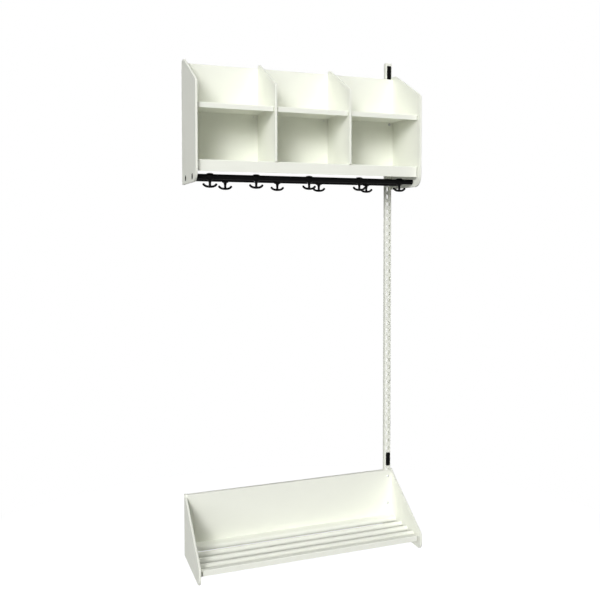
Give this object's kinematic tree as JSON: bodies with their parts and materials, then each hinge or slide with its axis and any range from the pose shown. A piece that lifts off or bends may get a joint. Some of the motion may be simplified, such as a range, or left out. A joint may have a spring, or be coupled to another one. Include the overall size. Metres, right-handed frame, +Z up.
{
  "type": "wall-hung cloakroom bay",
  "caption": "Open wall-hung cloakroom bay: divided hat shelf over tubes with sliding anchor hooks, a slotted upright at one side, and a low shoe rack with bars.",
  "frame": {"origin": "middle wall-screw hole of the upright, on the face that the screw head seats on", "axes": "+X along the wall to the right, +Y to the wall, +Z up"},
  "size_m": [0.9, 0.3, 2],
  "materials": {
    "white_board": "white lacquered board, satin",
    "white_sheet": "white powder coat, satin",
    "black_metal": "black powder coat, satin",
    "black_plastic": "black moulded plastic",
    "zinc_steel": "bright zinc"
  },
  "bodies": {
    "frame": {"hat_gable_left": "white_board", "hat_gable_right": "white_board", "divider_left": "white_board", "divider_right": "white_board", "rack_gable_left": "white_board", "rack_gable_right": "white_board", "hat_back_panel": "white_sheet", "mid_shelf_left": "white_sheet", "mid_shelf_centre": "white_sheet", "mid_shelf_right": "white_sheet", "hat_deck": "white_sheet", "rack_back_panel": "white_sheet", "rack_front_rail": "white_sheet", "shoe_bar_rear": "white_sheet", "shoe_bar_middle": "white_sheet", "shoe_bar_front": "white_sheet", "upright": "white_sheet", "hook_tube_front": "black_metal", "hook_tube_rear": "black_metal", "tube_plugs": "black_plastic", "upper_lock": "black_plastic", "lower_lock": "black_plastic", "hat_hanger": "zinc_steel", "rack_hanger": "zinc_steel", "hanger_bolts": "zinc_steel", "pan_head_screws": "zinc_steel", "low_head_screws": "zinc_steel"},
    "hook_front_1": {"hook_front_1": "black_plastic"},
    "hook_front_2": {"hook_front_2": "black_plastic"},
    "hook_front_3": {"hook_front_3": "black_plastic"},
    "hook_front_4": {"hook_front_4": "black_plastic"},
    "hook_front_5": {"hook_front_5": "black_plastic"},
    "hook_rear_1": {"hook_rear_1": "black_plastic"},
    "hook_rear_2": {"hook_rear_2": "black_plastic"},
    "hook_rear_3": {"hook_rear_3": "black_plastic"},
    "hook_rear_4": {"hook_rear_4": "black_plastic"}
  },
  "joints": [
    {"name": "hook_front_1_slide", "type": "slide", "parent": "frame", "child": "hook_front_1", "axis": [1, 0, 0], "range_m": [-0.027, 0.057]},
    {"name": "hook_front_2_slide", "type": "slide", "parent": "frame", "child": "hook_front_2", "axis": [1, 0, 0], "range_m": [-0.057, 0.075]},
    {"name": "hook_front_3_slide", "type": "slide", "parent": "frame", "child": "hook_front_3", "axis": [1, 0, 0], "range_m": [-0.075, 0.075]},
    {"name": "hook_front_4_slide", "type": "slide", "parent": "frame", "child": "hook_front_4", "axis": [1, 0, 0], "range_m": [-0.075, 0.057]},
    {"name": "hook_front_5_slide", "type": "slide", "parent": "frame", "child": "hook_front_5", "axis": [1, 0, 0], "range_m": [-0.057, 0.027]},
    {"name": "hook_rear_1_slide", "type": "slide", "parent": "frame", "child": "hook_rear_1", "axis": [1, 0, 0], "range_m": [-0.115, 0.075]},
    {"name": "hook_rear_2_slide", "type": "slide", "parent": "frame", "child": "hook_rear_2", "axis": [1, 0, 0], "range_m": [-0.075, 0.057]},
    {"name": "hook_rear_3_slide", "type": "slide", "parent": "frame", "child": "hook_rear_3", "axis": [1, 0, 0], "range_m": [-0.057, 0.075]},
    {"name": "hook_rear_4_slide", "type": "slide", "parent": "frame", "child": "hook_rear_4", "axis": [1, 0, 0], "range_m": [-0.075, 0.115]}
  ]
}
